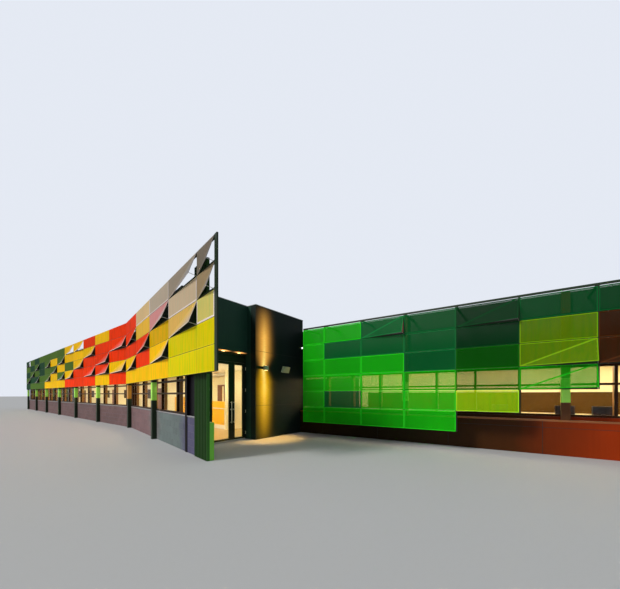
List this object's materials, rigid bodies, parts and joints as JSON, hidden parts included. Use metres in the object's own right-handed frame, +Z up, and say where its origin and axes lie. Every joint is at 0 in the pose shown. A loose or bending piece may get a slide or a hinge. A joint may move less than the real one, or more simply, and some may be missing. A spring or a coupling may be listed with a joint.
{
  "type": "school building, 1:2 scale model",
  "caption": "Long low school building with a bent wing behind a folded sheet metal screen, a glazed double door in a recessed entrance, and a second screened wing. Scale model at 1:2.",
  "frame": {"origin": "ground point at the front corner of the lit side wall, beside the hinges of the narrow door", "axes": "+X along the right wing away from the entrance, +Y from the front into the building, +Z up"},
  "size_m": [25.3174, 7.3138, 2.606],
  "materials": {
    "floor_finish": "satin sheet flooring",
    "ceiling_lining": "matt paint",
    "grey_block": "matt blockwork",
    "lime_paint": "satin paint",
    "green_cladding": "satin ribbed sheet",
    "window_frame": "satin paint",
    "glass": "clear",
    "dark_panel": "satin",
    "green_steel": "satin paint",
    "charcoal_cladding": "satin panels",
    "roof_sheet": "matt sheet",
    "lime_sheet": "gloss perforated sheet",
    "yellow_sheet": "gloss perforated sheet",
    "red_sheet": "gloss perforated sheet",
    "green_sheet": "gloss perforated sheet",
    "dark_green_sheet": "gloss perforated sheet",
    "strut_steel": "satin",
    "soffit_lining": "matt",
    "door_paint": "satin paint",
    "pull_steel": "satin",
    "light_casing": "satin",
    "counter_yellow": "gloss laminate",
    "inner_paint": "matt paint",
    "bench_top": "clear finish"
  },
  "bodies": {
    "building": {"floors": "floor_finish", "ceilings": "ceiling_lining", "block_wall": "grey_block", "lime_wall_end": "lime_paint", "left_upper_wall": "green_cladding", "left_window_frames": "window_frame", "left_glass": "glass", "screen_pier": "green_cladding", "dark_bay_panel": "dark_panel", "wall_posts": "green_steel", "post_sleeves": "lime_paint", "end_walls": "charcoal_cladding", "back_walls": "charcoal_cladding", "back_window_frames": "window_frame", "back_glass": "glass", "hall_side_wall": "charcoal_cladding", "entrance_return": "charcoal_cladding", "hall_parapets": "charcoal_cladding", "left_roof": "roof_sheet", "hall_roof": "roof_sheet", "right_roof": "roof_sheet", "left_screen_frame": "green_steel", "lime_sheets": "lime_sheet", "yellow_sheets": "yellow_sheet", "red_sheets": "red_sheet", "green_sheets": "green_sheet", "dark_green_sheets": "dark_green_sheet", "fold_struts": "strut_steel", "entrance_fascia": "charcoal_cladding", "entrance_soffit": "soffit_lining", "entrance_frame": "door_paint", "entrance_glass": "glass", "door_threshold": "pull_steel", "wall_lights": "light_casing", "reception_counter": "counter_yellow", "reception_wall": "inner_paint", "corridor_walls": "inner_paint", "right_base_wall": "charcoal_cladding", "right_upper_wall": "charcoal_cladding", "right_window_frames": "window_frame", "right_glass": "glass", "right_screen_frame": "green_steel", "work_benches": "bench_top"},
    "wide_leaf": {"left_door": "door_paint", "left_door_glass": "glass", "left_door_pull": "pull_steel"},
    "narrow_leaf": {"right_door": "door_paint", "right_door_glass": "glass", "right_door_pull": "pull_steel"}
  },
  "joints": [
    {"name": "narrow_leaf_hinge", "type": "hinge", "parent": "building", "child": "narrow_leaf", "pos_m": [-0.25, -0.014, 0], "axis": [0, 0, 1], "range_deg": [0, 90]},
    {"name": "wide_leaf_hinge", "type": "hinge", "parent": "building", "child": "wide_leaf", "pos_m": [-0.25, -0.805, 0], "axis": [0, 0, -1], "range_deg": [0, 90]}
  ]
}
